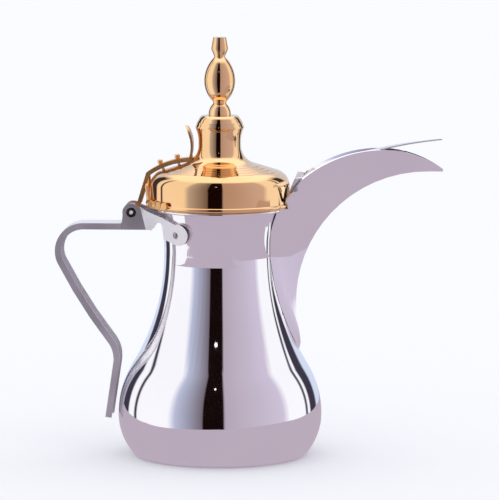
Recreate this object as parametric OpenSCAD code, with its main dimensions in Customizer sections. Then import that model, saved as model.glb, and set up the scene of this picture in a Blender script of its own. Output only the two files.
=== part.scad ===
// Dallah: a spouted coffee pot with a hinged, domed lid.
// Millimetres, +Z up. The origin is the centre of the base on the surface it stands on.
// The spout points along +X, the handle lies along -X, and the lid turns about a pin along Y.

/* [Pot body] */
// Largest radius of the belly
belly_r = 72.8; // [70:0.5:80]
// Height of the widest part of the belly
belly_z = 29.5; // [27:0.5:34]
// Radius of the waist of the neck
waist_r = 39.7; // [37:0.1:41]
// Height of the waist
waist_z = 146; // [140:1:150]
// Radius of the belly's upper curve, seen from the side
belly_arc = 68; // [60:1:71]
// Radius of the curve from the belly down to the base
base_arc = 43; // [40:1:50]
// Radius of the flare from the waist up to the mouth
neck_arc = 90; // [80:1:110]
// Height of the mouth
body_top = 178.4; // [176:0.2:182]
// Thickness of the sheet of the body
body_wall = 1.2; // [0.8:0.1:1.6]
// Radius of the rolled bead at the mouth
mouth_bead_r = 1.2; // [0.9:0.1:1.6]

/* [Base] */
// Radius of the base plate
base_r = 57; // [54:0.5:59]
// Thickness of the base plate
base_t = 1.2; // [0.8:0.1:2]
// Width of the flat ring that the pot stands on, and of the groove inside it
base_ring_w = 7; // [5:0.5:10]
// Depth of the groove pressed into the underside of the base plate
base_dish = 0.9; // [0.5:0.1:1.5]

/* [Outlet] */
// Radius of one hole of the strainer in the neck wall
strainer_hole_r = 1.7; // [1.2:0.1:2]
// Rows of strainer holes
strainer_rows = 8; // [5:1:9]
// Distance between two rows
strainer_pitch = 7.5; // [6:0.5:8]
// Height of the lowest row
strainer_z = 102; // [98:1:106]
// Angle round the neck between two columns of holes
strainer_step = 9; // [8:0.5:10]

/* [Spout] */
// Thickness of the sheet of the spout
spout_wall = 1.2; // [0.8:0.1:1.4]
// Height of the spout's foot on the belly
spout_foot_z = 76; // [74:0.5:80]
// Radius of the keel curve, seen from the side
keel_arc = 93.5; // [90:0.5:96]
// Reach of the tip from the pot's axis
spout_reach = 158.8; // [155:0.5:162]
// Height of the keel at the tip
tip_z = 204.2; // [202:0.2:207]
// Highest point of the side panels
crest_z = 220; // [218:0.5:223]
// Distance of that point from the pot's axis
crest_x = 116; // [112:1:120]
// Radius of the top edge behind the crest
crest_rear_arc = 89; // [86:1:93]
// Half width of the channel at its rear edge
spout_half_w = 19; // [17:0.5:20.5]
// Half width of the lip at the tip
tip_half_w = 1.1; // [0.9:0.1:1.4]
// Height of the lip at the tip
tip_h = 1.6; // [1.2:0.1:2.4]
// Sideways sweep of the panels where they meet the neck
spout_flare = 2.6; // [1.5:0.1:3]
// Distance from the side of the lid to the panels' upper rear corners
rear_corner_gap = 9; // [7:0.2:11]
// Clearance between the spout's sheet and the edge of the lid
spout_lid_gap = 0.8; // [0.5:0.1:1.2]
// How far the keel stands off the belly at its foot
keel_proud = 4.6; // [3:0.2:6]
// Gap between the spout and the neck, filled by its seam
seam_gap = 0.1; // [0.05:0.05:0.2]
// Thickness of the bridge plate and of the upper leaf
leaf_t = 0.9; // [0.7:0.1:1.2]
// Reach of the upper leaf's point from the pot's axis
leaf_reach = 158; // [154:0.5:160]
// Rise of the upper leaf from its root to its point
leaf_rise = 9.8; // [7:0.2:11]
// Length of the leaf's root between the panels
leaf_root = 14; // [11:0.5:16]
// Radius of the small rivets
rivet_r = 1.3; // [1:0.1:1.6]

/* [Handle] */
// Width of the handle strap
strap_w = 22.4; // [20:0.2:26]
// Depth of the strap's channel section
strap_t = 4.5; // [4:0.1:5]
// Thickness of the strap's sheet
strap_wall = 1.3; // [1:0.1:1.6]
// Height of the middle of the strap's top run
strap_z = 164.8; // [164:0.1:166]
// Distance from the side of the belly to the centre of the outer bend
bend_reach = 24.2; // [20:0.1:28]
// Radius of the outer bend
bend_r = 18; // [16:0.5:20]
// Angle of the sloping run past the vertical, at its upper end
slope_turn = 27; // [25:0.5:34]
// How much further the sloping run leans at its lower end
slope_bow = 10.5; // [6:0.5:14]
// Length of the sloping run
slope_len = 66; // [60:0.5:68]
// Radius of the lower bend
lower_bend_r = 22; // [18:0.5:26]
// Angle of the lower run past the vertical
tail_turn = 8.5; // [6:0.5:10]
// Length of the lower run
tail_len = 39.5; // [34:0.5:42]
// Length of the tongue inside the strap
tongue_in_strap = 15; // [10:1:22]

/* [Hinge] */
// Distance from the side of the lid to the hinge pin
pin_reach = 12.7; // [12:0.1:14]
// Height of the hinge pin
pin_z = 175; // [174:0.1:176]
// Radius of the hinge pin
pin_r = 2.4; // [2:0.1:2.8]
// Radius of the hole through the pin
pin_bore_r = 1.4; // [1:0.1:1.6]
// Radius of the pin's rolled ends
pin_head_r = 3.5; // [3.2:0.1:4]
// Thickness of the pin's rolled ends
pin_head_t = 0.9; // [0.6:0.1:1.2]
// Radial running clearance of the lever on the pin
pin_clear = 0.06; // [0.03:0.01:0.1]
// Thickness of the cheek plates
cheek_t = 2; // [1.6:0.1:2.4]
// Radius of the cheeks round the pin
cheek_eye_r = 6.3; // [5.8:0.1:6.6]
// Height of the rivets that hold the cheeks to the neck
yoke_z = 161.3; // [160:0.1:163]
// Angle of those rivets round the neck, from the handle side
yoke_angle = 47; // [45:0.5:49]
// Radius of the round end of a cheek
yoke_end_r = 7.6; // [7:0.1:8.2]
// Side play between the knuckle and the cheeks
knuckle_play = 0.3; // [0.2:0.05:0.4]

/* [Lid] */
// Radius of the side of the lid
lid_r = 49.8; // [49:0.1:50.5]
// Thickness of the lid's sheet
lid_wall = 1.2; // [0.9:0.1:1.5]
// Gap between the lid and the mouth
lid_gap = 0.3; // [0.2:0.05:0.5]
// Height of the lid's straight side
lid_side_h = 14.8; // [14:0.1:15.4]
// Radius of the lid's shoulder
shoulder_r = 11; // [10:0.2:12]
// Slope of the dome
dome_slope = 17.5; // [16:0.5:19]
// Radius of the bead at the lid's lower edge
lid_bead_r = 1.7; // [1.4:0.1:1.9]
// Radius of the flat seat at the top of the dome
dome_flat_r = 10; // [8:0.5:12]
// Radius of the first groove on the dome
groove_first_r = 29.5; // [29:0.5:30.5]
// Distance between the grooves
groove_step = 4; // [3.5:0.1:4.1]
// Number of grooves
groove_count = 4; // [3:1:4]
// Depth of a groove
groove_depth = 0.35; // [0.2:0.05:0.5]
// Depth of the skirt below the lid
skirt_depth = 5; // [4:0.5:6]
// Clearance between the skirt and the neck
skirt_clear = 0.5; // [0.4:0.05:0.8]

/* [Collar and finial] */
// Radius of the collar's waist
collar_r = 15.1; // [14:0.1:15.6]
// Radius of the flare at the collar's foot
collar_flare = 13.5; // [12:0.1:16]
// Height of the collar from the dome's seat to its upper edge
collar_h = 24; // [22:0.5:26]
// Largest radius of the collar's lip
lip_r = 17.4; // [16.5:0.1:18]
// Depth of the lip's widest point below the collar's upper edge
lip_drop = 2.8; // [2:0.1:3.4]
// Radius of the curve under the lip
lip_sweep = 22.9; // [18:0.1:28]
// Radius of the crown cap's foot
crown_foot_r = 16.3; // [15.8:0.1:16.8]
// Height of the crown cap
crown_h = 5.3; // [4.5:0.1:6]
// Radius of the crown cap's top
crown_top_r = 13; // [12.5:0.1:14]
// Radius of the bell under the finial bead
bell_r = 8; // [7:0.1:9]
// Radius of the bell's side, seen from the side
bell_arc = 10.7; // [9:0.1:13]
// Height of the bell
bell_h = 10.5; // [9.5:0.1:11.5]
// Radius of the finial bead
bead_r = 11.1; // [10:0.1:11.5]
// Height of the finial bead
bead_h = 31.1; // [28:0.1:33]
// Height of the bead's widest part above its foot
bead_mid = 14.1; // [12:0.1:16]
// Radius of the bead's foot
bead_foot_r = 5.4; // [5:0.1:6]
// Largest radius of the finial's tip
tip_r = 6; // [5.5:0.1:6.5]
// Height of the finial's tip
tip_len = 14.1; // [13:0.1:16]
// Radius of the finial's neck
finial_neck_r = 4; // [3.6:0.1:4.4]
// Radius of the rod that holds the finial
rod_r = 2; // [1.8:0.1:2.2]
// Clearance round the rod
rod_clear = 0.1; // [0.05:0.05:0.2]

/* [Lever] */
// Thickness of the lever
lever_t = 3; // [2.6:0.1:3.4]
// Width of the lever
lever_w = 9; // [8:0.2:11]
// Radius of the arm's curve over the dome
arm_arc = 56; // [54:0.5:58]
// Height of the arm above the dome at the collar
arm_rise = 1; // [0.6:0.1:1.4]
// Radius of the knuckle round the pin
knuckle_r = 4.9; // [4.5:0.1:5.2]
// Radius of the two side stays
stay_r = 1.5; // [1.3:0.1:1.8]
// Thickness of the scalloped foot
foot_t = 1.4; // [1.2:0.1:1.8]
// Height of the scalloped foot below its lobes
foot_h = 3; // [2.5:0.1:3.4]
// Radius of one lobe of the foot
lobe_r = 2.9; // [2.6:0.1:3.1]
// Angle between two lobes
lobe_step = 7.4; // [6.8:0.1:8]
// Lobes on each side of the middle one
lobe_side = 6; // [5:1:6]
// Height of the thumb piece
thumb_h = 22.5; // [20:0.5:24]
// Width of the thumb piece
thumb_w = 15; // [12:0.5:17]
// Thickness of the thumb piece
thumb_t = 1.6; // [1.3:0.1:2]
// Radius of the knobs on the arm
knob_r = 2; // [1.7:0.1:2.2]

/* [Hidden] */
$fn = 96;
eps = 0.01;
lap = 1;

// ---- Pot body: four tangent arcs from the base to the mouth ----
arc_span = (pow(belly_r - waist_r, 2) + pow(waist_z - belly_z, 2)) / (2 * (belly_r - waist_r));
waist_arc = arc_span - belly_arc;
belly_join_z = belly_z + (waist_z - belly_z) * belly_arc / arc_span;

// Outer radius of the pot at height z
function body_r(z) =
    z > waist_z ? waist_r + neck_arc - sqrt(pow(neck_arc, 2) - pow(z - waist_z, 2))
    : z > belly_join_z ? waist_r + waist_arc - sqrt(pow(waist_arc, 2) - pow(waist_z - z, 2))
    : z > belly_z ? belly_r - belly_arc + sqrt(pow(belly_arc, 2) - pow(z - belly_z, 2))
    : belly_r - base_arc + sqrt(pow(base_arc, 2) - pow(belly_z - z, 2));

// Half of the pot's upright section, set in by inset, between two heights
module pot_section(inset, z_low, z_high) {
    difference() {
        translate([0, waist_z]) square([waist_r + neck_arc, z_high - waist_z]);
        translate([waist_r + neck_arc, waist_z]) circle(r = neck_arc + inset, $fn = 256);
    }
    difference() {
        translate([0, belly_join_z]) square([waist_r + waist_arc, waist_z - belly_join_z]);
        translate([waist_r + waist_arc, waist_z]) circle(r = waist_arc + inset, $fn = 256);
    }
    intersection() {
        translate([0, belly_z]) square([belly_r, belly_join_z - belly_z]);
        translate([belly_r - belly_arc, belly_z]) circle(r = belly_arc - inset, $fn = 256);
    }
    intersection() {
        translate([0, z_low]) square([belly_r, belly_z - z_low]);
        translate([belly_r - base_arc, belly_z]) circle(r = base_arc - inset, $fn = 256);
    }
}

mouth_bead_x = body_r(body_top) + mouth_bead_r / 3;

module body_shell() {
    color("gainsboro") difference() {
        rotate_extrude($fn = 128) {
            difference() {
                pot_section(0, base_t, body_top);
                pot_section(body_wall, base_t + body_wall, body_top + lap);
                translate([-eps, 0]) square([base_r - base_ring_w, belly_z]);
            }
            translate([mouth_bead_x, body_top - mouth_bead_r]) circle(r = mouth_bead_r, $fn = 32);
        }
        for (row = [0 : strainer_rows - 1], column = [-1 : 1])
            rotate([0, 0, column * strainer_step])
                translate([waist_r - 2 * body_wall - lap, 0, strainer_z + row * strainer_pitch])
                    rotate([0, 90, 0]) cylinder(r = strainer_hole_r, h = waist_r / 4, $fn = 24);
        for (side = [0, 1]) mirror([0, side, 0]) yoke_rivet_hole();
    }
}

module base_plate() {
    color("silver") rotate_extrude($fn = 128) difference() {
        square([base_r, base_t]);
        translate([base_r - 2 * base_ring_w, -lap]) square([base_ring_w, lap + base_dish]);
    }
}

// ---- Spout: a folded sheet between the keel and the crescent top edge ----
rear_corner_x = lid_r + rear_corner_gap;
keel_start_x = body_r(spout_foot_z) + keel_proud;
keel_c_z = tip_z - keel_arc;
keel_c = [keel_start_x + sqrt(pow(keel_arc, 2) - pow(keel_c_z - spout_foot_z, 2)), keel_c_z];
keel_start_a = asin((keel_c.y - spout_foot_z) / keel_arc);
tip_run = spout_reach - keel_c.x;
keel_len = keel_arc * (90 + keel_start_a) * PI / 180 + tip_run;
crest_front_dx = spout_reach - crest_x;
crest_front_dz = crest_z - tip_z - tip_h;
crest_front_arc = (pow(crest_front_dx, 2) + pow(crest_front_dz, 2)) / (2 * crest_front_dz);
rear_top_z = crest_z - crest_rear_arc + sqrt(pow(crest_rear_arc, 2) - pow(crest_x - rear_corner_x, 2));
root_split = (body_top - spout_foot_z) / (rear_top_z - spout_foot_z);

// Point of the keel a share u of its length from the belly
function keel(u) =
    let (s = u * keel_len, turn = s / keel_arc * 180 / PI - keel_start_a,
         land = -keel_proud * pow(1 - u, 40))
    turn < 90
        ? [keel_c.x - keel_arc * cos(turn) + land, keel_c.y + keel_arc * sin(turn)]
        : [keel_c.x + s - keel_arc * (90 + keel_start_a) * PI / 180, tip_z];

// Point of the top edge a share u of its reach from the rear corner
function crest(u) =
    let (x = rear_corner_x + (spout_reach - rear_corner_x) * u,
         arc = x < crest_x ? crest_rear_arc : crest_front_arc)
    [x, crest_z - arc + sqrt(pow(arc, 2) - pow(x - crest_x, 2))];

// Half width at a share u along the spout and a share v from the keel up to the top edge
function half_width(u, v) =
    let (top = tip_half_w + (spout_half_w - tip_half_w) * pow(1 - u, 1.15),
         sweep = spout_flare * pow(max(0, 1 - u / 0.12), 2) * sin(180 * min(1, v * 0.9)))
    top * (0.4 * v + 0.6 * sin(90 * v)) + sweep;

// Rear line of a panel: up the neck to the mouth, then free to the rear corner
function root(v) =
    let (z = spout_foot_z + (rear_top_z - spout_foot_z) * v,
         on_neck = function (h, w) sqrt(pow(body_r(h), 2) - pow(w, 2)) + seam_gap,
         top_x = on_neck(body_top, half_width(0, root_split)) + mouth_bead_r * 1.4)
    v <= root_split
        ? [on_neck(z, half_width(0, v)) + mouth_bead_r * 1.4 * pow(v / root_split, 12), z]
        : [top_x + (rear_corner_x - top_x) * (v - root_split) / (1 - root_split), z];

// Outer face of the near (-1) or far (+1) panel
function panel_point(u, v, side) =
    let (edge_mix = (1 - v) * keel(u) + v * crest(u),
         root_mix = (1 - u) * (root(v) - (1 - v) * keel(0) - v * crest(0)),
         tip_mix = u * ([spout_reach, tip_z + tip_h * v] - (1 - v) * keel(1) - v * crest(1)),
         p = edge_mix + root_mix + tip_mix)
    [p.x, side * half_width(u, v), p.y];

// Unit normal of a panel, pointing into the channel
function panel_normal(u, v, side) =
    let (d = 0.01, u0 = max(0, u - d), u1 = min(1, u + d),
         v0 = max(0, v - d), v1 = min(1, v + d),
         n = cross(panel_point(u1, v, side) - panel_point(u0, v, side),
                   panel_point(u, v1, side) - panel_point(u, v0, side)),
         m = n / norm(n))
    m.y * side > 0 ? -m : m;

// Inner face: in the keel line both panels share one fold
function inner_point(u, v, side, wall) =
    let (n = panel_normal(u, v, side), p = panel_point(u, v, side),
         flat = v == 0 ? [n.x, 0, n.z] / norm([n.x, 0, n.z]) * wall * 1.2 : n * wall)
    p + flat;

spout_u = [for (i = [0 : 22]) pow(i / 22, 1.15)];
panel_v = [0, 0.12, 0.26, 0.4, 0.55, 0.7, root_split, 0.93, 1];

module spout_sheet() {
    side_n = len(panel_v) - 1;
    ring = 4 * side_n + 2;
    wall_at = function (u) spout_wall * (1 - 0.55 * u);
    stations = [for (u = spout_u) concat(
        [for (k = [side_n : -1 : 1]) panel_point(u, panel_v[k], -1)],
        [for (k = [0 : side_n]) panel_point(u, panel_v[k], 1)],
        [for (k = [side_n : -1 : 1]) inner_point(u, panel_v[k], 1, wall_at(u))],
        [for (k = [0 : side_n]) inner_point(u, panel_v[k], -1, wall_at(u))])];
    half = 2 * side_n;
    // Index of the inner vertex across the sheet from outer vertex k
    across = function (k) ring - 1 - k;
    cap = function (base) [for (k = [0 : half - 1])
        each [[base + k, base + k + 1, base + across(k)],
              [base + k + 1, base + across(k + 1), base + across(k)]]];
    last = (len(spout_u) - 1) * ring;
    polyhedron(
        points = [for (station = stations) each station],
        faces = concat(
            cap(0),
            [for (f = cap(last)) [f[2], f[1], f[0]]],
            [for (i = [0 : len(spout_u) - 2], k = [0 : ring - 1])
                let (a = i * ring + k, b = i * ring + (k + 1) % ring)
                each [[a, a + ring, b], [b, a + ring, b + ring]]]));
}

module spout_channel() {
    color("gainsboro") difference() {
        spout_sheet();
        for (side = [-1, 1])
            at_bridge_rivet(side) cylinder(r = rivet_r + fit_gap, h = 8, center = true);
        rotate_extrude($fn = 128) {
            pot_section(-seam_gap, base_t, body_top);
            translate([mouth_bead_x, body_top - mouth_bead_r])
                circle(r = mouth_bead_r + seam_gap, $fn = 32);
        }
        translate([0, 0, body_top])
            cylinder(r = lid_r + lid_bead_out + spout_lid_gap, h = lid_side_h + lap, $fn = 128);
    }
}

// Places children with their Z axis along a direction
module facing(direction) {
    flat = norm([direction.x, direction.y]);
    rotate([0, atan2(flat, direction.z), atan2(direction.y, direction.x)]) children();
}

// Round-headed rivet: Z = 0 is the face under its head, the shank goes down
module rivet(shank_r, head_r, shank_len) {
    head_h = head_r * 0.5;
    ball_r = (pow(head_r, 2) + pow(head_h, 2)) / (2 * head_h);
    rotate_extrude($fn = 32) {
        translate([0, -shank_len]) square([shank_r, shank_len]);
        intersection() {
            square([head_r, head_h]);
            translate([0, head_h - ball_r]) circle(r = ball_r, $fn = 64);
        }
    }
}

bridge_slope = asin((crest_x - rear_corner_x) / crest_rear_arc);
bridge_back = 4;
bridge_front = 10;
tab_rivet_u = 0.03;
tab_rivet_v = 0.925;
fit_gap = 0.05;
head_lift = 0.12;

module at_bridge_rivet(side) {
    translate(panel_point(tab_rivet_u, tab_rivet_v, side))
        facing(-panel_normal(tab_rivet_u, tab_rivet_v, side)) children();
}

// Half width of the channel's hollow at its top edge, at a distance x from the axis
function hollow_half_w(x) =
    let (u = max(0, (x - rear_corner_x) / (spout_reach - rear_corner_x)))
    half_width(u, 1) - spout_wall - seam_gap;

module spout_bridge() {
    run = [for (s = [0 : 2.5 : bridge_front]) [s, hollow_half_w(rear_corner_x + s * cos(bridge_slope))]];
    back_w = run[0].y;
    tab_w = 7;
    edge = concat([[-bridge_back, back_w - 5], [-bridge_back * 0.6, back_w - 1.2]], run);
    color("lightsteelblue") difference() {
        union() {
            translate([rear_corner_x, 0, rear_top_z - 1.5 * leaf_t])
                rotate([0, -bridge_slope, 0]) linear_extrude(leaf_t)
                    polygon(concat(edge, [for (i = [len(edge) - 1 : -1 : 0]) [edge[i].x, -edge[i].y]]));
            for (side = [-1, 1])
                at_bridge_rivet(side)
                    translate([-9, -tab_w / 2, -spout_wall - seam_gap - leaf_t]) cube([13, tab_w, leaf_t]);
        }
        for (side = [-1, 1])
            at_bridge_rivet(side) cylinder(r = rivet_r + fit_gap, h = 8, center = true);
        spout_sheet();
    }
}

module bridge_rivets() {
    color("dimgray") for (side = [-1, 1])
        at_bridge_rivet(side) translate([0, 0, head_lift])
            rivet(rivet_r, rivet_r * 1.6, head_lift + spout_wall + seam_gap + leaf_t + 0.6);
}

module spout_leaf() {
    x0 = crest_x - leaf_root + 1;
    span = leaf_reach - x0;
    slope = atan2(leaf_rise, span);
    bulge = 1.2;
    arc = pow(span / 2, 2) / (2 * bulge);
    root_z = crest_z - 2.2;
    mid = [x0 + span / 2, root_z + leaf_rise / 2];
    centre = mid + (arc - bulge) * [sin(slope), -cos(slope)];
    color("lightsteelblue") difference() {
      intersection() {
        translate([0, 60, 0]) rotate([90, 0, 0]) linear_extrude(120) difference() {
            translate(centre) circle(r = arc, $fn = 720);
            translate(centre) circle(r = arc - leaf_t, $fn = 720);
        }
        translate([0, 0, root_z - 20]) linear_extrude(60)
            polygon([[x0, -hollow_half_w(x0)], [leaf_reach, -0.5], [leaf_reach, 0.5],
                     [x0, hollow_half_w(x0)]]);
      }
      spout_sheet();
    }
}

// ---- Handle and hinge ----
pin_x = lid_r + pin_reach;
bend_x = belly_r + bend_reach;
cheek_back = 7.3;
tail_reach = 14.7;
throat_step = 2.9;
notch_r = 3.2;
cheek_inner_y = strap_w / 2 - cheek_t;
strap_low_z = strap_z - strap_t / 2;
yoke_tilt = asin((yoke_z - waist_z) / neck_arc);
yoke_normal = [-cos(yoke_angle) * cos(yoke_tilt), -sin(yoke_angle) * cos(yoke_tilt), -sin(yoke_tilt)];
yoke_point = [-body_r(yoke_z) * cos(yoke_angle), -body_r(yoke_z) * sin(yoke_angle), yoke_z];
yoke_seat = pow(yoke_end_r, 2) / (2 * neck_arc) + seam_gap;

// Side view of a cheek: eye, tail under it, notch and the arm to the neck
module cheek_outline() {
    eye = [-pin_x, pin_z];
    end = [yoke_point.x, yoke_z];
    throat = [-pin_x + tail_reach + throat_step, strap_low_z + throat_step];
    translate(eye) circle(r = cheek_eye_r);
    difference() {
        polygon([[-pin_x + tail_reach, strap_low_z], throat, end + yoke_end_r * [-1.41, 0.55],
                 end + yoke_end_r * [-1.41, -0.54], end + yoke_end_r * [-0.2, -0.95], end,
                 end + yoke_end_r * [-0.2, 0.95], end + yoke_end_r * [-1.6, 1.54],
                 eye + cheek_eye_r * [1.9, 0.17], eye + cheek_eye_r * [0.4, 0.86], eye,
                 eye + cheek_eye_r * [-0.95, -0.09], [-pin_x - cheek_back, strap_low_z]]);
        translate([(throat.x + end.x) / 2 - 5.4, throat.y + 0.1]) circle(r = notch_r, $fn = 48);
    }
    translate(end) circle(r = yoke_end_r);
}

// Everything on the inner side of the cheek sheet, grown outward by t
module cheek_inside(t) {
    big = 150;
    translate([-big, -cheek_inner_y - t, 0]) cube([2 * big, big, 2 * big]);
    translate(yoke_point) facing(yoke_normal)
        translate([-big, -big, -big]) cube([2 * big, 2 * big, big + yoke_seat + t]);
}

module cheek() {
    color("gainsboro") difference() {
        intersection() {
            difference() {
                cheek_inside(cheek_t);
                cheek_inside(0);
            }
            rotate([90, 0, 0]) linear_extrude(60) cheek_outline();
        }
        translate([-pin_x, 0, pin_z]) rotate([90, 0, 0]) cylinder(r = pin_r + fit_gap, h = 60);
        yoke_rivet_hole();
    }
}

module yoke_rivet_hole() {
    translate(yoke_point) facing(yoke_normal) cylinder(r = rivet_r + 0.3 + fit_gap, h = 20, center = true);
}

module cheek_near() { cheek(); }
module cheek_far() { mirror([0, 1, 0]) cheek(); }

module neck_rivets() {
    color("dimgray") for (side = [0, 1]) mirror([0, side, 0])
        translate(yoke_point + yoke_normal * (yoke_seat + cheek_t)) facing(yoke_normal)
            rivet(rivet_r + 0.3, rivet_r + 1.2, yoke_seat + cheek_t + body_wall + 0.8);
}

// Ring turning from the start of a path along X, about a centre at the origin, left or right
module ring_sector(r_in, r_out, turn) {
    reach = 3 * r_out;
    difference() {
        circle(r = r_out);
        circle(r = r_in);
        translate([-reach, -reach]) square([reach, 2 * reach]);
        rotate(turn) translate([0, -reach]) square([reach, 2 * reach]);
    }
}

slope_start = [-bend_x, strap_z - bend_r] - bend_r * [cos(slope_turn), sin(slope_turn)];
slope_arc = slope_len * 180 / PI / slope_bow;
slope_c = slope_start + slope_arc * [cos(slope_turn), sin(slope_turn)];
lower_turn = slope_turn + slope_bow;
lower_c = slope_c - (slope_arc + lower_bend_r) * [cos(lower_turn), sin(lower_turn)];
bend_step = 3.5;

// Points on an arc, from one angle to another
function arc_points(centre, r, from, to) =
    let (n = ceil(abs(to - from) / bend_step))
    [for (i = [0 : n]) let (a = from + (to - from) * i / n) centre + r * [cos(a), sin(a)]];

// Side view of one face of the strap, at an offset outward from its middle line
function strap_line(out) =
    let (outer = arc_points([-bend_x, strap_z - bend_r], bend_r + out, 90, 180 + slope_turn),
         slope = arc_points(slope_c, slope_arc + out, 180 + slope_turn, 180 + lower_turn),
         lower = arc_points(lower_c, lower_bend_r - out, lower_turn, -tail_turn),
         end = lower[len(lower) - 1] - tail_len * [sin(tail_turn), cos(tail_turn)])
    concat([[-pin_x - cheek_back, strap_z + out]], outer,
        [for (i = [1 : len(slope) - 2]) slope[i]], lower, [end]);

// Plate across the strap, between two offsets from its middle line
module strap_plate(low, high, width) {
    inner = strap_line(low);
    translate([0, width / 2, 0]) rotate([90, 0, 0]) linear_extrude(width)
        polygon(concat(strap_line(high), [for (i = [len(inner) - 1 : -1 : 0]) inner[i]]));
}

module handle_strap() {
    color("gainsboro") difference() {
        strap_plate(-strap_t / 2, strap_t / 2, strap_w);
        strap_plate(-strap_t / 2 - lap, strap_t / 2 - strap_wall, strap_w - 2 * strap_wall);
    }
}

tongue_front = 12.5;

module strap_tongue() {
    back = pin_x + cheek_back + tongue_in_strap;
    color("silver") translate([-back, -cheek_inner_y, strap_low_z])
        cube([back - pin_x + tongue_front, 2 * cheek_inner_y, strap_t - strap_wall]);
}

module hinge_pin() {
    half = strap_w / 2;
    color("gray") translate([-pin_x, 0, pin_z]) rotate([90, 0, 0]) difference() {
        union() {
            cylinder(r = pin_r, h = 2 * half, center = true);
            for (side = [-1, 1])
                translate([0, 0, side * (half + pin_head_t / 2)])
                    cylinder(r = pin_head_r, h = pin_head_t, center = true);
        }
        cylinder(r = pin_bore_r, h = 3 * half, center = true);
    }
}

// ---- Lid ----
lid_z = body_top + lid_gap;
shoulder_c = [lid_r - shoulder_r, lid_z + lid_side_h];

// Height of the dome's outer face at radius r, on its sloping part
function dome_z(r) =
    shoulder_c.y + shoulder_r / cos(dome_slope) + (shoulder_c.x - r) * tan(dome_slope);

// Half of the dome's upright section, set in by inset
module lid_section(inset, z_low) {
    r = shoulder_r - inset;
    edge = shoulder_c + r * [sin(dome_slope), cos(dome_slope)];
    translate([0, z_low]) square([lid_r - inset, shoulder_c.y - z_low]);
    intersection() {
        translate(shoulder_c) circle(r = r, $fn = 128);
        polygon([shoulder_c, shoulder_c + [2 * r, 0], shoulder_c + [2 * r, 2 * r],
                 shoulder_c + 2 * r * [sin(dome_slope), cos(dome_slope)]]);
    }
    intersection() {
        polygon([[0, shoulder_c.y], shoulder_c, edge, [0, edge.y + edge.x * tan(dome_slope)]]);
        square([lid_r, dome_z(dome_flat_r) - inset]);
    }
}

foot_bottom_z = lid_z + 0.5;
foot_rivet_z = lid_z + 2.4;
stay_rivet_r = 0.8;
lid_bead_out = 0.9;

module stay_rivet_places() {
    for (lobe = [-4 : 2 : 4])
        translate([0, 0, foot_rivet_z]) rotate([0, -90, lobe * lobe_step]) children();
}

module lid_dome() {
    color("goldenrod") difference() {
        rotate_extrude($fn = 128) {
            difference() {
                union() {
                    lid_section(0, lid_z);
                    intersection() {
                        translate([lid_r + lid_bead_out - lid_bead_r, lid_z + lid_bead_r])
                            circle(r = lid_bead_r, $fn = 48);
                        translate([lid_r - lid_wall, lid_z]) square([lid_wall * 2, 3 * lid_bead_r]);
                    }
                }
                lid_section(lid_wall, lid_z - lap);
                for (i = [0 : groove_count - 1])
                    let (r = groove_first_r + i * groove_step)
                        translate([r, dome_z(r)]) circle(r = groove_depth, $fn = 24);
            }
        }
        cylinder(r = rod_r + rod_clear, h = 2 * dome_z(0));
        stay_rivet_places() cylinder(r = stay_rivet_r + fit_gap, h = 2 * lid_r);
        arm_rivet_places() cylinder(r = arm_rivet_r + fit_gap, h = 40, center = true);
    }
}

module lid_skirt() {
    r = body_r(body_top - skirt_depth) - body_wall - skirt_clear;
    color("darkgoldenrod") rotate_extrude($fn = 128) {
        translate([r - lid_wall, lid_z - skirt_depth]) square([lid_wall, skirt_depth + 1]);
        translate([r - eps, lid_z]) square([lid_r - lid_wall - fit_gap - r, 1]);
    }
}

collar_top_z = dome_z(dome_flat_r) + collar_h;
flare_c = [collar_r + collar_flare, 0];
flare_touch = flare_c.x - collar_flare * sin(dome_slope);
flare_z = dome_z(flare_touch) + collar_flare * cos(dome_slope);

// Half of the collar's upright section, set in by inset
module collar_section(inset, over = 0) {
    sweep_x = collar_r + lip_sweep;
    lip_z = collar_top_z - lip_drop;
    lip_land = 0.4;
    sweep_z = lip_z - lip_land - sqrt(pow(lip_sweep, 2) - pow(sweep_x - lip_r, 2));
    lean = (lip_r - crown_foot_r) / lip_drop;
    top = collar_top_z + over;
    difference() {
        translate([0, dome_z(flare_touch)])
            square([flare_touch, flare_z - dome_z(flare_touch)]);
        translate([flare_c.x, flare_z]) circle(r = collar_flare + inset, $fn = 128);
    }
    translate([0, flare_z]) square([collar_r - inset, sweep_z + lap - flare_z]);
    difference() {
        translate([0, sweep_z]) square([lip_r - inset, top - sweep_z]);
        translate([sweep_x, sweep_z]) circle(r = lip_sweep + inset, $fn = 256);
        polygon([[lip_r - inset, lip_z], [lip_r + lip_drop, lip_z], [lip_r + lip_drop, top + lap],
                 [lip_r - inset - lean * (top + lap - lip_z), top + lap]]);
    }
}

module lid_collar() {
    color("goldenrod") rotate_extrude() difference() {
        collar_section(0);
        collar_section(1.2, lap);
        lid_section(0, lid_z);
        square([dome_flat_r + 2, dome_z(dome_flat_r)]);
    }
}

crown_top_z = collar_top_z + crown_h;

module crown_cap() {
    bevel = 1.1;
    color("goldenrod") rotate_extrude() difference() {
        polygon([[0, collar_top_z], [crown_foot_r, collar_top_z], [crown_foot_r, collar_top_z + 0.5],
                 [crown_top_r + bevel, crown_top_z - bevel], [crown_top_r, crown_top_z], [0, crown_top_z]]);
        square_at(-eps, collar_top_z - eps, collar_r - 2.6, crown_h - 1.4);
        square_at(-eps, collar_top_z, rod_r + rod_clear, 2 * crown_h);
    }
}

module square_at(x, z, w, h) {
    translate([x, z]) square([w, h]);
}

bell_top_r = 4.8;
bead_z = crown_top_z + bell_h;
tip_z0 = bead_z + bead_h;
finial_top_z = tip_z0 + tip_len;

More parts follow.
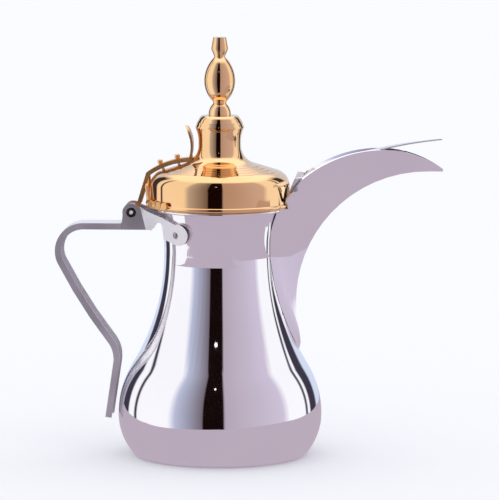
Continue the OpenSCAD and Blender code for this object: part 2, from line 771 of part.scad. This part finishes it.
module finial_bell() {
    ring_h = 1.6;
    color("goldenrod") rotate_extrude() difference() {
        union() {
            intersection() {
                square_at(0, crown_top_z, bell_r, bell_h - ring_h);
                translate([bell_r - bell_arc, crown_top_z + lap]) circle(r = bell_arc, $fn = 128);
            }
            square_at(0, crown_top_z + bell_h - ring_h - fit_gap, bell_top_r, ring_h + fit_gap);
        }
        square_at(-eps, crown_top_z - eps, rod_r + rod_clear, 2 * bell_h);
    }
}

// Radius of the arc that runs from a bead's widest part to a narrower one at a distance
function bead_arc(narrow_r, rise) = (pow(bead_r - narrow_r, 2) + pow(rise, 2)) / (2 * (bead_r - narrow_r));

module finial_bead() {
    mid = bead_z + bead_mid;
    low_arc = bead_arc(bead_foot_r, bead_mid);
    top_arc = bead_arc(finial_neck_r, bead_h - bead_mid);
    color("goldenrod") rotate_extrude() difference() {
        union() {
            intersection() {
                square_at(0, bead_z, bead_r, bead_mid);
                translate([bead_r - low_arc, mid]) circle(r = low_arc, $fn = 256);
            }
            intersection() {
                square_at(0, mid, bead_r, bead_h - bead_mid);
                translate([bead_r - top_arc, mid]) circle(r = top_arc, $fn = 256);
            }
        }
        square_at(-eps, bead_z - eps, rod_r + rod_clear, bead_h + 1);
    }
}

module finial_tip() {
    color("goldenrod") rotate_extrude() difference() {
        polygon([[0, tip_z0], [finial_neck_r, tip_z0], [finial_neck_r, tip_z0 + 0.9],
                 [tip_r * 0.97, tip_z0 + tip_len * 0.36], [tip_r, tip_z0 + tip_len * 0.44],
                 [tip_r * 0.77, finial_top_z], [0, finial_top_z]]);
        square_at(-eps, tip_z0 - lap, rod_r + rod_clear, tip_len * 0.6 + lap);
    }
}

washer_t = 1.2;
nut_t = 4;

module finial_rod() {
    low = dome_z(dome_flat_r) - lid_wall - washer_t - nut_t - 2;
    color("silver") translate([0, 0, low]) cylinder(r = rod_r, h = tip_z0 + tip_len * 0.6 - low - rod_clear);
}

module finial_washer() {
    color("silver") translate([0, 0, dome_z(dome_flat_r) - lid_wall - washer_t]) difference() {
        cylinder(r = 6, h = washer_t);
        translate([0, 0, -lap]) cylinder(r = rod_r + rod_clear, h = washer_t + 2 * lap);
    }
}

module finial_nut() {
    color("silver") translate([0, 0, dome_z(dome_flat_r) - lid_wall - washer_t - nut_t]) difference() {
        cylinder(r = 4, h = nut_t, $fn = 6);
        translate([0, 0, -lap]) cylinder(r = rod_r + fit_gap, h = nut_t + 2 * lap, $fn = 48);
    }
}

// ---- Lever ----
arm_c = [-19, dome_z(dome_flat_r) - 0.5 - arm_arc];
arm_mid_r = arm_arc - lever_t / 2;
arm_front_a = 84;
elbow_a = 90 + asin((lid_r + arm_c.x + 1.25) / arm_mid_r);
elbow = arm_c + arm_mid_r * [cos(elbow_a), sin(elbow_a)];
knee = [-pin_x + 5.5, pin_z + 7];
arm_rivet_r = 1;

module arm_rivet_places() {
    for (a = [101.3, 114.1])
        translate([arm_c.x + arm_arc * cos(a), 0, arm_c.y + arm_arc * sin(a)])
            rotate([0, 90 - a, 0]) children();
}

// Bar of the lever's thickness between two points of its side view
module lever_bar(from, to) {
    run = to - from;
    translate(from) rotate(atan2(run.y, run.x))
        translate([0, -lever_t / 2]) square([norm(run), lever_t]);
    translate(to) circle(r = lever_t / 2 + fit_gap, $fn = 32);
}

module lever_side() {
    translate(arm_c) rotate(arm_front_a + 90)
        ring_sector(arm_arc - lever_t, arm_arc, elbow_a - arm_front_a);
    translate(elbow) circle(r = lever_t / 2 + fit_gap, $fn = 32);
    lever_bar(elbow, knee);
    lever_bar(knee, [-pin_x, pin_z]);
}

module lever_arm() {
    knuckle_half = cheek_inner_y - knuckle_play;
    color("goldenrod") difference() {
        union() {
            translate([0, lever_w / 2, 0]) rotate([90, 0, 0]) linear_extrude(lever_w) lever_side();
            translate([-pin_x, 0, pin_z]) rotate([90, 0, 0])
                cylinder(r = knuckle_r, h = 2 * knuckle_half, center = true);
        }
        translate([-pin_x, 0, pin_z]) rotate([90, 0, 0])
            cylinder(r = pin_r + pin_clear, h = strap_w, center = true);
        rotate_extrude($fn = 128) {
            lid_section(-0.15, lid_z);
            collar_section(-0.15);
        }
        arm_rivet_places() cylinder(r = arm_rivet_r + fit_gap, h = 40, center = true);
        translate([thumb_x, 0, arm_c.y]) cylinder(r = tenon_r + fit_gap, h = 2 * arm_arc);
    }
}

module arm_rivets() {
    color("darkgoldenrod") arm_rivet_places() {
        translate([0, 0, knob_r * 0.8]) intersection() {
            sphere(r = knob_r, $fn = 32);
            translate([-knob_r, -knob_r, -knob_r * 0.8 + fit_gap]) cube(2 * knob_r);
        }
        translate([0, 0, -8]) cylinder(r = arm_rivet_r, h = 8 + knob_r, $fn = 32);
    }
}

tenon_r = 1.2;
thumb_x = -20.4;
thumb_z = arm_c.y + arm_arc + fit_gap;
thumb_arc = 28;

module thumb_piece() {
    color("goldenrod") difference() {
      union() {
        intersection() {
            translate([thumb_x + 1.6 - thumb_arc, 20, thumb_z + thumb_h * 0.36]) rotate([90, 0, 0])
                linear_extrude(40) difference() {
                    circle(r = thumb_arc, $fn = 128);
                    circle(r = thumb_arc - thumb_t, $fn = 128);
                }
            translate([thumb_x - 10, 0, thumb_z]) rotate([90, 0, 90]) linear_extrude(20) {
                translate([0, thumb_h - thumb_w / 2]) circle(r = thumb_w / 2, $fn = 64);
                polygon([[lever_w / 2, 0], [thumb_w * 0.46, thumb_h - thumb_w * 0.7],
                         [-thumb_w * 0.46, thumb_h - thumb_w * 0.7], [-lever_w / 2, 0]]);
            }
        }
        translate([thumb_x, 0, thumb_z - lever_t + 0.2]) cylinder(r = tenon_r, h = lever_t + 1, $fn = 32);
      }
      rotate_extrude($fn = 128) {
        lid_section(-0.15, lid_z);
        collar_section(-0.15);
      }
    }
}

// Round bar from one point to another
module round_bar(from, to, r) {
    translate(from) facing(to - from) cylinder(r = r, h = norm(to - from), $fn = 32);
}

foot_in_r = lid_r + lid_bead_out + 0.1;
lobe_proud = 0.12;
stay_top = [elbow.x, 2.2, elbow.y];
stay_mid = [-lid_r - 1.6, 9, shoulder_c.y - 0.5];
foot_top_z = foot_bottom_z + foot_h + lobe_r * 0.8;
stay_low = [-lid_r + 0.6, 15.5, foot_top_z - 2];

module stay_rods() {
    color("goldenrod") difference() {
        for (side = [-1, 1]) union() {
            top = [stay_top.x, side * stay_top.y, stay_top.z];
            mid = [stay_mid.x, side * stay_mid.y, stay_mid.z];
            low = [stay_low.x, side * stay_low.y, stay_low.z];
            round_bar(mid, top, stay_r);
            round_bar(mid, low, stay_r);
            translate(mid) sphere(r = stay_r + fit_gap, $fn = 32);
        }
        rotate([90, 0, 0]) translate([0, 0, -lever_w]) linear_extrude(2 * lever_w) lever_side();
        translate([0, 0, foot_bottom_z - lap]) cylinder(r = lid_r + 0.15, h = 3 * lid_side_h, $fn = 128);
        translate([-2 * lid_r, -lid_r, lid_z - lap]) cube([2 * lid_r, 2 * lid_r, foot_top_z + lap - lid_z]);
    }
}

module lid_stay() {
    lobes = [for (i = [-lobe_side : lobe_side]) i * lobe_step];
    color("goldenrod") difference() {
        union() {
            rotate([0, 0, 180 - lobe_side * lobe_step])
                rotate_extrude(angle = 2 * lobe_side * lobe_step, $fn = 128)
                    square_at(foot_in_r, foot_bottom_z, foot_t, foot_h);
            for (a = lobes) rotate([0, 0, a])
                translate([-foot_in_r - lobe_proud, 0, foot_bottom_z + foot_h]) rotate([0, -90, 0])
                    cylinder(r = lobe_r, h = foot_t, $fn = 32);
        }
        translate([-2 * lid_r, -lid_r, foot_top_z]) cube([2 * lid_r, 2 * lid_r, 2 * lobe_r]);
        stay_rivet_places() cylinder(r = stay_rivet_r + fit_gap, h = 2 * lid_r);
    }
}

module stay_rivets() {
    head_seat = foot_in_r + lobe_proud + foot_t + 0.02;
    color("darkgoldenrod") stay_rivet_places()
        translate([0, 0, head_seat]) rivet(stay_rivet_r, stay_rivet_r * 1.8, head_seat - lid_r + lid_wall + 0.6);
}

body_shell();
base_plate();
spout_channel();
spout_bridge();
bridge_rivets();
spout_leaf();
cheek_near();
cheek_far();
neck_rivets();
handle_strap();
strap_tongue();
hinge_pin();
lid_dome();
lid_skirt();
lid_collar();
crown_cap();
finial_bell();
finial_bead();
finial_tip();
finial_rod();
finial_washer();
finial_nut();
lever_arm();
stay_rods();
lid_stay();
stay_rivets();
arm_rivets();
thumb_piece();
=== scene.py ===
import bpy, math
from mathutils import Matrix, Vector

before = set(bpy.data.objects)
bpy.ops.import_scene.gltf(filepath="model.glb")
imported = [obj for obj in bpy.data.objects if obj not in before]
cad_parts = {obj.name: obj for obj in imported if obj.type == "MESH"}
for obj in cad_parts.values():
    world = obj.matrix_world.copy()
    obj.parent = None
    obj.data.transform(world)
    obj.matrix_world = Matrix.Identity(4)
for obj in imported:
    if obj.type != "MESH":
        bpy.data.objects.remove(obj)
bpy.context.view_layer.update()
MM = 0.001
scene = bpy.context.scene
scene.view_settings.view_transform = "Standard"

# ------------------------------------------------------------------ camera
def make_camera(aim, azimuth, elevation, distance, lens):
    a, e = math.radians(azimuth), math.radians(elevation)
    way = Vector((math.sin(a) * math.cos(e), -math.cos(a) * math.cos(e), math.sin(e)))
    data = bpy.data.cameras.new("camera")
    data.lens, data.sensor_width, data.sensor_fit = lens, 36.0, "HORIZONTAL"
    data.clip_start, data.clip_end = 0.05, 50.0
    obj = bpy.data.objects.new("camera", data)
    obj.location = aim + way * distance
    obj.rotation_euler = (-way).to_track_quat("-Z", "Y").to_euler()
    scene.collection.objects.link(obj)
    scene.camera = obj

CAMERA_AIM = Vector((0.0212, 0.0, 0.1472))
CAMERA_AZIMUTH, CAMERA_ELEVATION = 3.0, 6.9
CAMERA_DISTANCE, CAMERA_LENS = 2.6, 262.7
make_camera(CAMERA_AIM, CAMERA_AZIMUTH, CAMERA_ELEVATION, CAMERA_DISTANCE, CAMERA_LENS)

# --------------------------------------------------------------- materials
def new_material(name):
    mat = bpy.data.materials.new(name)
    mat.use_nodes = True
    tree = mat.node_tree
    tree.nodes.clear()
    return mat, tree

def node(tree, kind, **sockets):
    made = tree.nodes.new(kind)
    for key, value in sockets.items():
        if key in made.inputs.keys():
            made.inputs[key].default_value = value
        else:
            setattr(made, key, value)
    return made

def link(tree, a, out, b, into):
    tree.links.new(a.outputs[out], b.inputs[into])

def metal(name, low, high, rough, rough_spread, wave, wave_scale, scratch):
    """Polished metal: slight colour drift, uneven polish, faint waviness and fine scratches."""
    mat, tree = new_material(name)
    out = node(tree, "ShaderNodeOutputMaterial")
    bsdf = node(tree, "ShaderNodeBsdfPrincipled")
    bsdf.inputs["Metallic"].default_value = 1.0
    link(tree, bsdf, "BSDF", out, "Surface")
    where = node(tree, "ShaderNodeTexCoord")
    drift = node(tree, "ShaderNodeTexNoise", Scale=14.0, Detail=3.0)
    link(tree, where, "Object", drift, "Vector")
    ramp = node(tree, "ShaderNodeValToRGB")
    ramp.color_ramp.elements[0].position, ramp.color_ramp.elements[0].color = 0.35, (*low, 1)
    ramp.color_ramp.elements[1].position, ramp.color_ramp.elements[1].color = 0.68, (*high, 1)
    link(tree, drift, "Fac", ramp, "Fac")
    link(tree, ramp, "Color", bsdf, "Base Color")
    smear = node(tree, "ShaderNodeTexNoise", Scale=55.0, Detail=5.0)
    link(tree, where, "Object", smear, "Vector")
    spread = node(tree, "ShaderNodeMapRange")
    spread.inputs["From Min"].default_value, spread.inputs["From Max"].default_value = 0.4, 0.75
    spread.inputs["To Min"].default_value = rough
    spread.inputs["To Max"].default_value = rough + rough_spread
    link(tree, smear, "Fac", spread, "Value")
    link(tree, spread, "Result", bsdf, "Roughness")
    swell = node(tree, "ShaderNodeTexNoise", Scale=wave_scale, Detail=2.0)
    link(tree, where, "Object", swell, "Vector")
    bump = node(tree, "ShaderNodeBump", Strength=1.0, Distance=wave)
    link(tree, swell, "Fac", bump, "Height")
    fine = node(tree, "ShaderNodeTexNoise", Scale=900.0, Detail=4.0, Roughness=0.7)
    link(tree, where, "Object", fine, "Vector")
    bump2 = node(tree, "ShaderNodeBump", Strength=1.0, Distance=scratch)
    link(tree, fine, "Fac", bump2, "Height")
    link(tree, bump, "Normal", bump2, "Normal")
    link(tree, bump2, "Normal", bsdf, "Normal")
    return mat

# Name, darker and lighter colour, roughness and its spread, depth (m) and scale of the
# waviness, depth (m) of the scratches
STEEL = metal("mirror_steel", (0.93, 0.92, 0.94), (0.96, 0.95, 0.965), 0.03, 0.03, 0.00003, 9.0, 0.0000006)
SATIN = metal("satin_steel", (0.80, 0.78, 0.80), (0.92, 0.90, 0.92), 0.46, 0.10, 0.00002, 20.0, 0.000004)
SHEET = metal("sheet_steel", (0.80, 0.78, 0.80), (0.88, 0.86, 0.88), 0.40, 0.08, 0.00004, 22.0, 0.000002)
RIVET = metal("rivet_steel", (0.30, 0.28, 0.29), (0.52, 0.50, 0.51), 0.25, 0.2, 0.00005, 300.0, 0.000006)
PINM = metal("pin_steel", (0.62, 0.58, 0.53), (0.72, 0.68, 0.62), 0.16, 0.12, 0.00003, 200.0, 0.000004)
GOLD = metal("polished_gold", (0.93, 0.57, 0.27), (0.98, 0.66, 0.35), 0.03, 0.04, 0.00003, 12.0, 0.0000008)
GOLD_DULL = metal("gold_inside", (0.78, 0.46, 0.20), (0.88, 0.55, 0.27), 0.2, 0.15, 0.00003, 40.0, 0.000004)
GOLD_SOFT = metal("lever_gold", (0.88, 0.50, 0.20), (0.98, 0.62, 0.30), 0.34, 0.14, 0.00003, 60.0, 0.000003)
INNER = metal("inner_steel", (0.55, 0.55, 0.56), (0.66, 0.66, 0.67), 0.25, 0.15, 0.00002, 80.0, 0.000005)

FINISH = {
    "body_shell": STEEL, "base_plate": SATIN, "spout_channel": STEEL, "spout_bridge": SHEET,
    "bridge_rivets": RIVET, "spout_leaf": SHEET, "cheek_near": SHEET, "cheek_far": SHEET,
    "neck_rivets": RIVET, "handle_strap": SATIN, "strap_tongue": SATIN, "hinge_pin": PINM,
    "lid_dome": GOLD, "lid_skirt": GOLD_DULL, "lid_collar": GOLD, "crown_cap": GOLD,
    "finial_bell": GOLD, "finial_bead": GOLD, "finial_tip": GOLD, "finial_rod": INNER,
    "finial_washer": INNER, "finial_nut": INNER, "lever_arm": GOLD_SOFT, "stay_rods": GOLD_SOFT,
    "lid_stay": GOLD_SOFT, "stay_rivets": GOLD, "arm_rivets": GOLD, "thumb_piece": GOLD_SOFT,
}
# Angle between faces, in degrees, from which an edge shades as sharp
SPLIT_ANGLE = 24
SPLIT = {"spout_channel": 20, "spout_leaf": 20, "spout_bridge": 20}
WELD_DISTANCE = 0.000002

for name, mat in FINISH.items():
    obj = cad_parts[name]
    if not obj.material_slots:
        obj.data.materials.append(mat)
    for slot in obj.material_slots:
        slot.material = mat

# ------------------------------------------------------------------ studio
world = bpy.data.worlds.new("studio")
scene.world = world
world.use_nodes = True
wt = world.node_tree
wt.nodes.clear()

def srgb(r, g, b, boost=1.0):
    """Colour as read on a screen, to the linear value that light uses."""
    def line(v):
        v = v / 255.0
        return v / 12.92 if v <= 0.04045 else ((v + 0.055) / 1.055) ** 2.4
    return (line(r) * boost, line(g) * boost, line(b) * boost, 1.0)

# The light set that the polish sees, in a few plain tones chosen for it
BOX = (250, 250, 255)            # softbox
ROOM = (210, 220, 240)           # pale wall behind the set
FLAG = (60, 55, 70)              # dark flag between two softboxes
SLOT = (20, 8, 8)                # gap in front, where the camera stands
GREY_CARD = ((185, 190, 215), (115, 105, 115))   # lit end, dim end
PINK_CARD = ((180, 168, 182), (205, 195, 215))   # dim end, lit end

# What stands where, in degrees from the front (-Y) toward +X: start, end, tone at each end
LIGHT_SET = [
    (-180, -146, ROOM, ROOM), (-143, -125, FLAG, FLAG), (-122, -112, BOX, BOX),
    (-110, -107, FLAG, FLAG), (-105, -58, BOX, BOX), (-49, -17, *GREY_CARD),
    (-15.5, 7, SLOT, SLOT), (9, 80, *PINK_CARD), (90, 117, BOX, BOX),
    (119, 122, FLAG, FLAG), (123, 127, BOX, BOX), (129, 144, FLAG, FLAG),
    (148, 180, ROOM, ROOM),
]
GLOW = 1.04
MAUVE = srgb(186, 172, 187, GLOW)

def horizon_colour(tree, vector_node, vector_out):
    """Colour by the compass bearing of a direction or place, seen from the pot's axis."""
    parts = node(tree, "ShaderNodeSeparateXYZ")
    link(tree, vector_node, vector_out, parts, "Vector")
    front = node(tree, "ShaderNodeMath", operation="MULTIPLY")
    front.inputs[1].default_value = -1.0
    tree.links.new(parts.outputs["Y"], front.inputs[0])
    turn = node(tree, "ShaderNodeMath", operation="ARCTAN2")
    tree.links.new(parts.outputs["X"], turn.inputs[0])
    tree.links.new(front.outputs[0], turn.inputs[1])
    scale = node(tree, "ShaderNodeMath", operation="MULTIPLY_ADD")
    scale.inputs[1].default_value = 0.5 / math.pi
    scale.inputs[2].default_value = 0.5
    tree.links.new(turn.outputs[0], scale.inputs[0])
    ramp = node(tree, "ShaderNodeValToRGB")
    stops = ramp.color_ramp.elements
    while len(stops) > 1:
        stops.remove(stops[-1])
    marks = [mark for start, end, near, far in LIGHT_SET for mark in ((start, near), (end, far))]
    for i, (deg, rgb) in enumerate(marks):
        stop = stops[0] if i == 0 else stops.new((deg + 180) / 360)
        stop.position = (deg + 180) / 360
        stop.color = srgb(*rgb)
    tree.links.new(scale.outputs[0], ramp.inputs["Fac"])
    return ramp, parts

# The softbox overhead leans back a little, and fades in between these two heights
TOP_LEAN, TOP_START, TOP_FULL = 0.3, 0.72, 0.86

w_out = node(wt, "ShaderNodeOutputWorld")
w_where = node(wt, "ShaderNodeTexCoord")
w_ramp, w_parts = horizon_colour(wt, w_where, "Generated")
tilt = node(wt, "ShaderNodeMath", operation="MULTIPLY_ADD")
tilt.inputs[1].default_value = TOP_LEAN
wt.links.new(w_parts.outputs["Y"], tilt.inputs[0])
wt.links.new(w_parts.outputs["Z"], tilt.inputs[2])
high = node(wt, "ShaderNodeMapRange")
high.inputs["From Min"].default_value, high.inputs["From Max"].default_value = TOP_START, TOP_FULL
wt.links.new(tilt.outputs[0], high.inputs["Value"])
w_top = node(wt, "ShaderNodeMixRGB")
w_top.inputs["Color2"].default_value = srgb(250, 250, 255, 1.35)
wt.links.new(high.outputs["Result"], w_top.inputs["Fac"])
wt.links.new(w_ramp.outputs["Color"], w_top.inputs["Color1"])
w_gloss = node(wt, "ShaderNodeBackground", Strength=GLOW)
wt.links.new(w_top.outputs["Color"], w_gloss.inputs["Color"])
w_plain = node(wt, "ShaderNodeBackground", Strength=1.0)
w_plain.inputs["Color"].default_value = srgb(250, 251, 255)
w_path = node(wt, "ShaderNodeLightPath")
w_mix = node(wt, "ShaderNodeMixShader")
wt.links.new(w_path.outputs["Is Glossy Ray"], w_mix.inputs["Fac"])
wt.links.new(w_plain.outputs["Background"], w_mix.inputs[1])
wt.links.new(w_gloss.outputs["Background"], w_mix.inputs[2])
wt.links.new(w_mix.outputs["Shader"], w_out.inputs["Surface"])

# Floor: seen as pale paper, with the object's shadow; the polished metal sees the gloss set instead
def floor_material():
    mat, tree = new_material("floor_paper")
    out = node(tree, "ShaderNodeOutputMaterial")
    paper = node(tree, "ShaderNodeBsdfPrincipled", Roughness=0.9)
    paper.inputs["Specular IOR Level"].default_value = 0.0
    where = node(tree, "ShaderNodeTexCoord")
    fibre = node(tree, "ShaderNodeTexNoise", Scale=60.0, Detail=4.0)
    link(tree, where, "Object", fibre, "Vector")
    ramp = node(tree, "ShaderNodeValToRGB")
    ramp.color_ramp.elements[0].color = (0.93, 0.94, 0.96, 1)
    ramp.color_ramp.elements[1].color = (0.95, 0.955, 0.975, 1)
    link(tree, fibre, "Fac", ramp, "Fac")
    link(tree, ramp, "Color", paper, "Base Color")
    paper.inputs["Emission Color"].default_value = (0.95, 0.96, 1.0, 1)
    paper.inputs["Emission Strength"].default_value = 0.06
    link(tree, paper, "BSDF", out, "Surface")
    return mat

def sheet(name, points, mat, glossy_only):
    mesh = bpy.data.meshes.new(name)
    mesh.from_pydata(points, [], [tuple(range(len(points)))])
    mesh.update()
    obj = bpy.data.objects.new(name, mesh)
    scene.collection.objects.link(obj)
    mesh.materials.append(mat)
    if glossy_only:
        obj.visible_camera = obj.visible_diffuse = obj.visible_shadow = False
        obj.visible_transmission = False
    return obj

FLOOR_HALF, FLOOR_Z = 8, -0.0002
floor = sheet("floor", [(x * FLOOR_HALF, y * FLOOR_HALF, FLOOR_Z)
                        for x, y in ((-1, -1), (1, -1), (1, 1), (-1, 1))],
              floor_material(), False)
floor.visible_glossy = False

def upward_glow(name, colour):
    """Glows on its upper side, and is clear from below."""
    mat, tree = new_material(name)
    out = node(tree, "ShaderNodeOutputMaterial")
    glow = node(tree, "ShaderNodeEmission", Strength=1.0)
    glow.inputs["Color"].default_value = colour
    clear = node(tree, "ShaderNodeBsdfTransparent")
    face = node(tree, "ShaderNodeNewGeometry")
    mix = node(tree, "ShaderNodeMixShader")
    tree.links.new(face.outputs["Backfacing"], mix.inputs["Fac"])
    tree.links.new(glow.outputs["Emission"], mix.inputs[1])
    tree.links.new(clear.outputs["BSDF"], mix.inputs[2])
    link(tree, mix, "Shader", out, "Surface")
    return mat

glow_mat = upward_glow("grey_card", MAUVE)
# Upward-glowing cards that only the polish sees, as outline (mm) and height (mm):
# one round the foot, two in front under the neck, one under the spout
TABLE = [(-442, 375), (-347, 109), (-288, 6), (-255, -57), (-185, -120), (-148, -157),
         (-111, -192), (-61, -220), (-5, -238), (97, -233), (154, -237), (274, -170),
         (361, -54), (418, 152), (347, 388)]
SHELF = [(-34, -25), (-56, -42), (-74, -54), (-68, -64), (-60, -76), (-51, -89),
         (-42, -101), (-27, -106), (-17, -108), (21, -108), (33, -103), (40, -92),
         (22, -37), (12, -41), (-12, -41), (-31, -31)]
SHELF_RIGHT = [(18, -37), (34, -92), (64, -84), (88, -66), (100, -40), (104, -8), (44, -5),
               (43, -10), (32, -29)]
SIDE = [(70, -30), (100, -150), (420, -180), (420, -6), (160, -6), (110, -12)]
for name, outline, height in (("gloss_base", TABLE, -0.1), ("gloss_shelf", SHELF, 138.8),
                              ("gloss_shelf_right", SHELF_RIGHT, 143.5), ("gloss_side", SIDE, 150)):
    sheet(name, [(x * MM, y * MM, height * MM) for x, y in outline], glow_mat, True)

# One bare lamp in front: a small bright point on each curve of the polish
LAMP_BEARING, LAMP_RISE = math.radians(-3), math.radians(37)
LAMP_REACH, LAMP_R, LAMP_BASE, LAMP_SIDES = 1.6, 0.03, 0.06, 24
way = Vector((math.sin(LAMP_BEARING) * math.cos(LAMP_RISE),
              -math.cos(LAMP_BEARING) * math.cos(LAMP_RISE), math.sin(LAMP_RISE)))
side = way.cross(Vector((0, 0, 1))).normalized()
rise = side.cross(way)
centre = way * LAMP_REACH + Vector((0, 0, LAMP_BASE))
turns = [i * math.tau / LAMP_SIDES for i in range(LAMP_SIDES)]
disc = [centre + LAMP_R * (side * math.cos(t) + rise * math.sin(t)) for t in turns]
sheet("lamp", [p[:] for p in disc], upward_glow("lamp_face", (2.2, 2.2, 2.3, 1.0)), True)

# Faces that meet at a shallow angle shade as one curved surface, and real edges stay sharp
for name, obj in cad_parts.items():
    obj.data.shade_smooth()
    weld = obj.modifiers.new("weld", "WELD")
    weld.merge_threshold = WELD_DISTANCE
    split = obj.modifiers.new("split", "EDGE_SPLIT")
    split.split_angle = math.radians(SPLIT.get(name, SPLIT_ANGLE))
